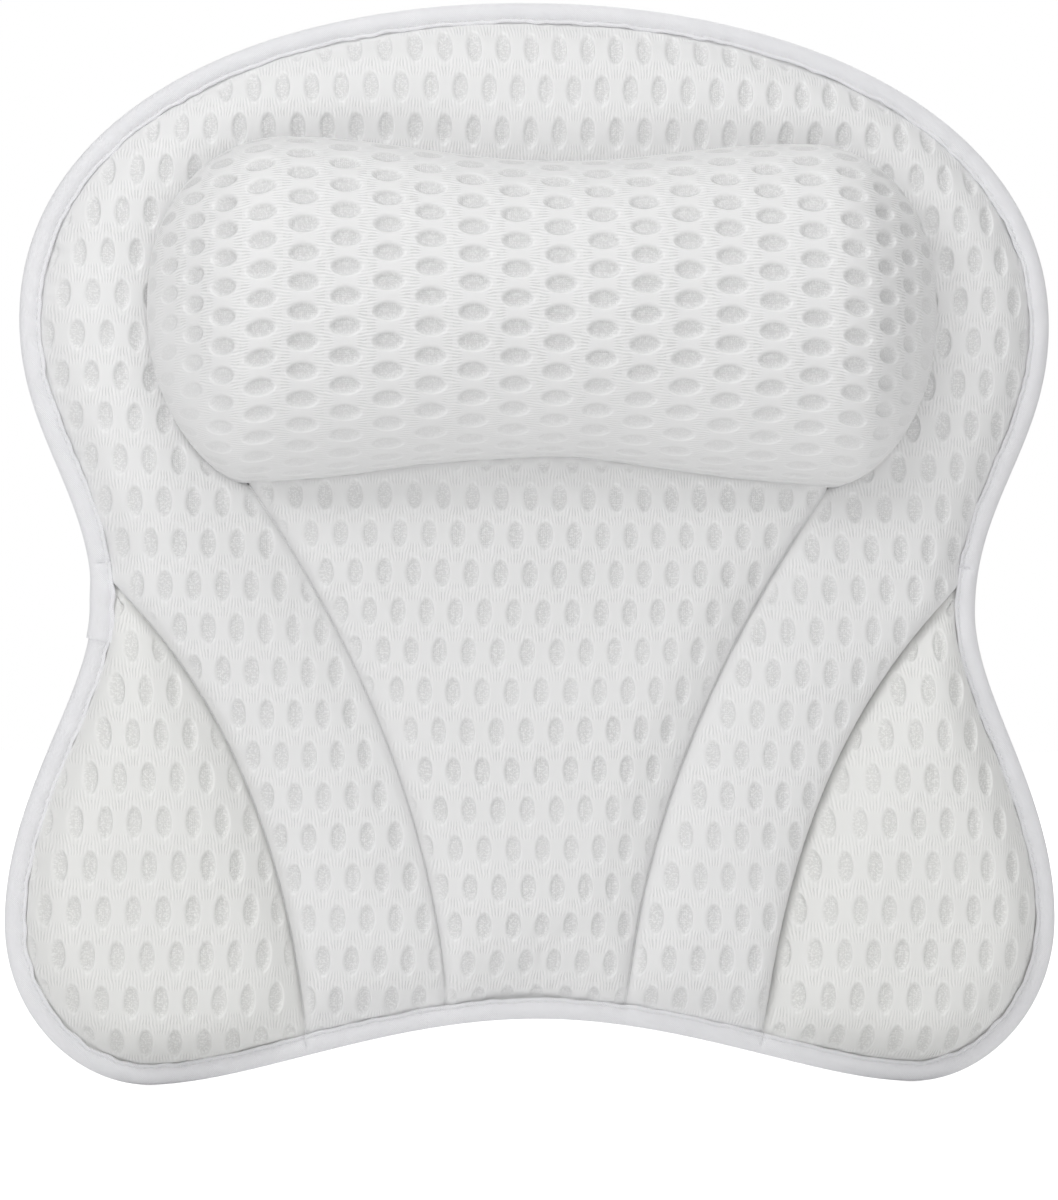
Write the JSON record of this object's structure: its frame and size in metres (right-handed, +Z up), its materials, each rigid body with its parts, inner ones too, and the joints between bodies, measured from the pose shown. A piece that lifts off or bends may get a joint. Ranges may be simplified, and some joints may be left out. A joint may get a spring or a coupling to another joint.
{
  "type": "bath pillow",
  "caption": "Butterfly-shaped padded bath backrest in white spacer mesh with a bolster head pillow, bound edge, flexing side wings, swivelling suction cups and a hanging loop.",
  "frame": {"origin": "centre of the middle suction cup, on the plane of the tub wall", "axes": "+Z up, +Y into the tub wall, the padded front faces -Y, +X to the viewer's right"},
  "size_m": [0.409, 0.0953, 0.418],
  "materials": {
    "mesh": "white spacer mesh with oval dimples",
    "foam": "open-cell foam pad, off-white",
    "fibre": "loose polyester fibre filling",
    "tape": "cool white satin binding tape",
    "thread": "white sewn seam",
    "webbing": "white woven webbing",
    "vinyl": "clear soft vinyl, glossy",
    "eyelet": "white moulded plastic"
  },
  "bodies": {
    "pad": {"back_cover": "mesh", "surround_cover": "mesh", "surround_foam": "foam", "centre_cover": "mesh", "centre_foam": "foam", "head_pillow_cover": "mesh", "head_pillow_filling": "fibre", "head_pillow_seam": "thread", "head_binding": "tape", "arch_binding": "tape", "left_outer_seam": "thread", "right_outer_seam": "thread", "left_inner_seam": "thread", "right_inner_seam": "thread", "upper_left_eyelet": "eyelet", "upper_right_eyelet": "eyelet", "middle_eyelet": "eyelet", "lower_eyelet": "eyelet", "loop_patch": "webbing"},
    "left_wing": {"left_wing_cover": "mesh", "left_wing_foam": "foam", "left_wing_back": "mesh", "left_wing_binding": "tape", "left_wing_eyelet": "eyelet"},
    "right_wing": {"right_wing_cover": "mesh", "right_wing_foam": "foam", "right_wing_back": "mesh", "right_wing_binding": "tape", "right_wing_eyelet": "eyelet"},
    "upper_left_cup": {"upper_left_cup": "vinyl"},
    "upper_right_cup": {"upper_right_cup": "vinyl"},
    "middle_cup": {"middle_cup": "vinyl"},
    "lower_cup": {"lower_cup": "vinyl"},
    "left_wing_cup": {"left_wing_cup": "vinyl"},
    "right_wing_cup": {"right_wing_cup": "vinyl"},
    "hanging_loop": {"hanging_loop": "webbing"}
  },
  "joints": [
    {"name": "left_wing_flex", "type": "hinge", "parent": "pad", "child": "left_wing", "pos_m": [-0.11462, -0.0178, -0.07884], "axis": [-0.3956, 0, 0.9184], "range_deg": [0, 30], "stiffness_Nm_per_rad": 0.3},
    {"name": "right_wing_flex", "type": "hinge", "parent": "pad", "child": "right_wing", "pos_m": [0.11462, -0.0178, -0.07884], "axis": [-0.3956, 0, -0.9184], "range_deg": [0, 30], "stiffness_Nm_per_rad": 0.3},
    {"name": "upper_left_cup_swivel", "type": "hinge", "parent": "pad", "child": "upper_left_cup", "pos_m": [-0.109, 0, 0.119], "axis": [0, 1, 0], "continuous": true},
    {"name": "upper_right_cup_swivel", "type": "hinge", "parent": "pad", "child": "upper_right_cup", "pos_m": [0.109, 0, 0.119], "axis": [0, 1, 0], "continuous": true},
    {"name": "middle_cup_swivel", "type": "hinge", "parent": "pad", "child": "middle_cup", "pos_m": [0, 0, 0], "axis": [0, 1, 0], "continuous": true},
    {"name": "lower_cup_swivel", "type": "hinge", "parent": "pad", "child": "lower_cup", "pos_m": [0, 0, -0.115], "axis": [0, 1, 0], "continuous": true},
    {"name": "left_wing_cup_swivel", "type": "hinge", "parent": "left_wing", "child": "left_wing_cup", "pos_m": [-0.1525, 0, -0.129], "axis": [0, 1, 0], "continuous": true},
    {"name": "right_wing_cup_swivel", "type": "hinge", "parent": "right_wing", "child": "right_wing_cup", "pos_m": [0.1525, 0, -0.129], "axis": [0, 1, 0], "continuous": true},
    {"name": "hanging_loop_swing", "type": "hinge", "parent": "pad", "child": "hanging_loop", "pos_m": [0, -0.0112, 0.19506], "axis": [1, 0, 0], "range_deg": [0, 175]}
  ]
}
